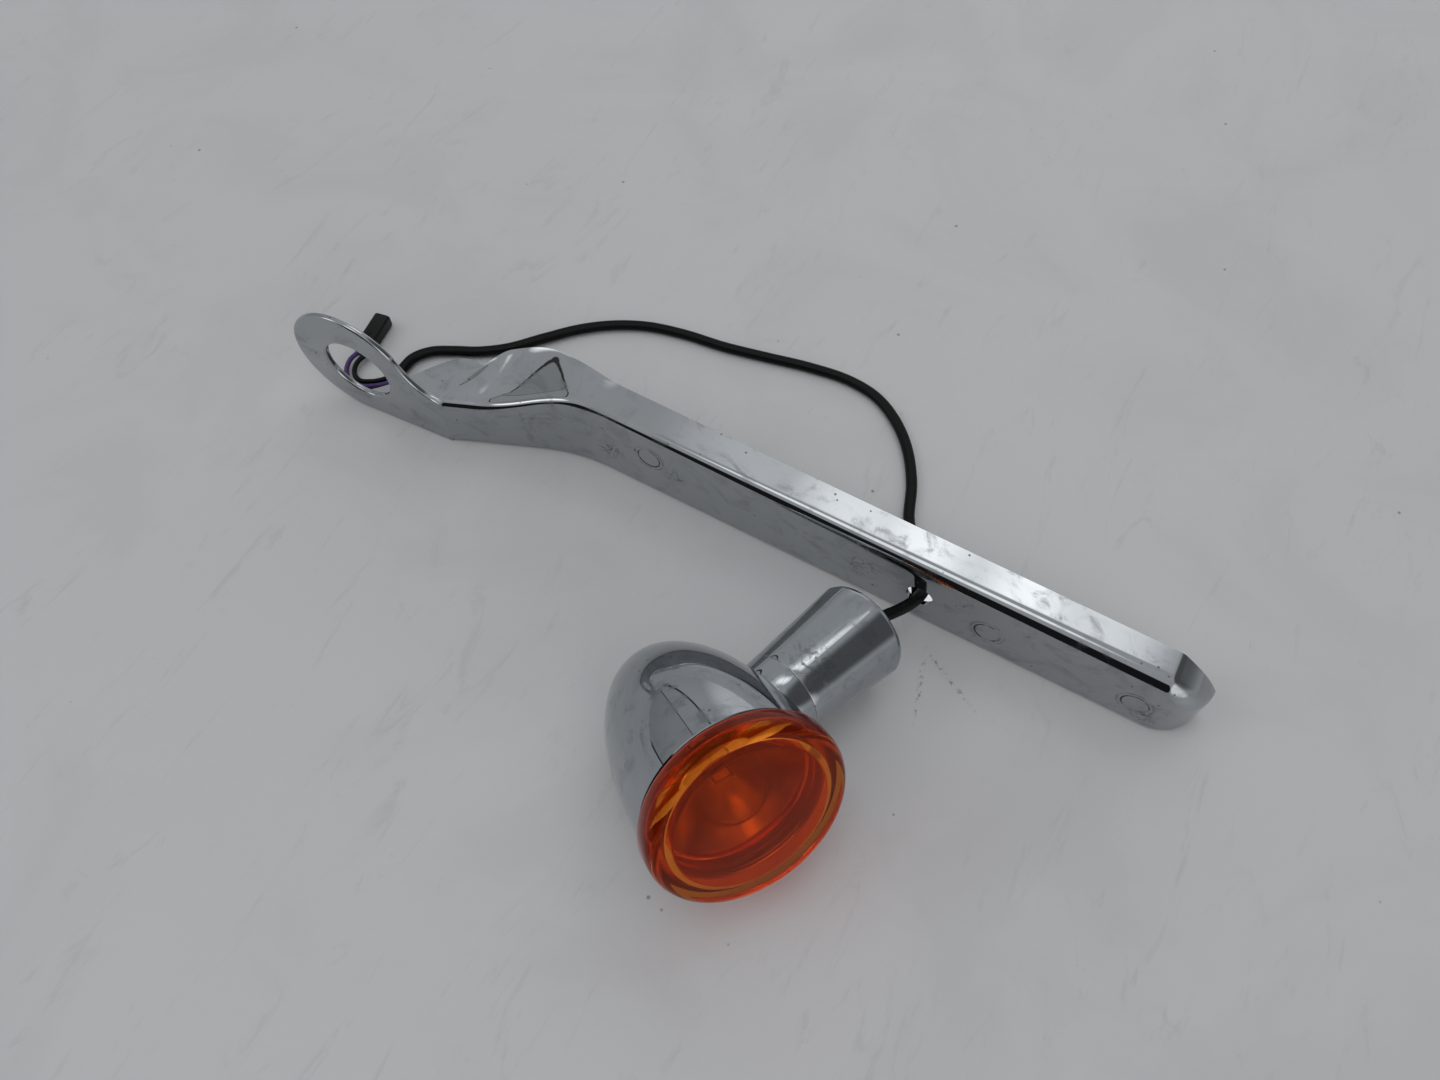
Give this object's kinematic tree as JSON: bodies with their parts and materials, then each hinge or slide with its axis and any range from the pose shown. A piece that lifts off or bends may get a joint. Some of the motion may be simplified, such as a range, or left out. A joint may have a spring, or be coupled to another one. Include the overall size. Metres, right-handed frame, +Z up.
{
  "type": "motorcycle turn signal set",
  "caption": "Chrome bullet turn signal lamp on a tapered stem, with its lead threaded through a chromed fender strut cover.",
  "frame": {"origin": "on the surface that the part lies on, under the middle of the box around everything but the lead, its wires and its connector", "axes": "+X along the strut cover from its ring tab to its closed nose, +Y from the web's polished face into the channel, +Z up"},
  "size_m": [0.3586, 0.2204, 0.0749],
  "materials": {
    "chrome": "polished chrome plate on pressed steel and die-cast zinc",
    "amber_lens": "clear amber moulded plastic",
    "rubber": "matt black rubber",
    "reflector": "bright metallised reflector",
    "zinc_plate": "dull zinc plate",
    "steel": "bare steel",
    "brass": "satin brass",
    "fibre": "brown laminated fibre",
    "bulb_glass": "clear thin glass",
    "solder": "soft solder",
    "violet_wire": "violet insulation",
    "black_wire": "black insulation and black sleeve",
    "connector_plastic": "black moulded nylon"
  },
  "bodies": {
    "strut_and_stem": {"strut_cover": "chrome", "stud_left": "zinc_plate", "stud_middle": "zinc_plate", "stud_right": "zinc_plate", "stem": "chrome", "swivel_spigot": "steel", "swivel_washer": "steel", "swivel_nut": "zinc_plate", "mount_insert": "zinc_plate", "lead_grommet": "rubber", "stem_wire_violet": "violet_wire", "stem_wire_black": "black_wire", "lead_sleeve": "black_wire", "wire_violet": "violet_wire", "wire_black": "black_wire", "connector_housing": "connector_plastic", "connector_terminal_violet": "brass", "connector_terminal_black": "brass"},
    "lamp_head": {"housing": "chrome", "lens_gasket": "rubber", "reflector": "reflector", "socket_shell": "zinc_plate", "head_wire_violet": "violet_wire", "head_wire_black": "black_wire"},
    "lens_cap": {"lens": "amber_lens"},
    "contact": {"contact_carrier": "fibre", "contact_plunger": "brass", "contact_spring": "steel"},
    "bulb": {"bulb_glass": "bulb_glass", "bulb_cap": "brass", "bulb_contact": "solder", "bulb_filament": "steel"}
  },
  "joints": [
    {"name": "head_swivel", "type": "hinge", "parent": "strut_and_stem", "child": "lamp_head", "pos_m": [0.04578, -0.0345, 0.03368], "axis": [0.288, 0.9408, -0.1789], "range_deg": [-90, 90]},
    {"name": "lens_pull", "type": "slide", "parent": "lamp_head", "child": "lens_cap", "axis": [0.7663, -0.4623, 0.4462], "range_m": [0, 0.03]},
    {"name": "bulb_push", "type": "slide", "parent": "lamp_head", "child": "contact", "axis": [-0.7663, 0.4623, -0.4462], "range_m": [0, 0.002], "stiffness_N_per_m": 900, "springref_m": -0.003},
    {"name": "bulb_turn", "type": "hinge", "parent": "contact", "child": "bulb", "pos_m": [0.03214, -0.02627, 0.02574], "axis": [0.7663, -0.4623, 0.4462], "range_deg": [0, 20]}
  ]
}
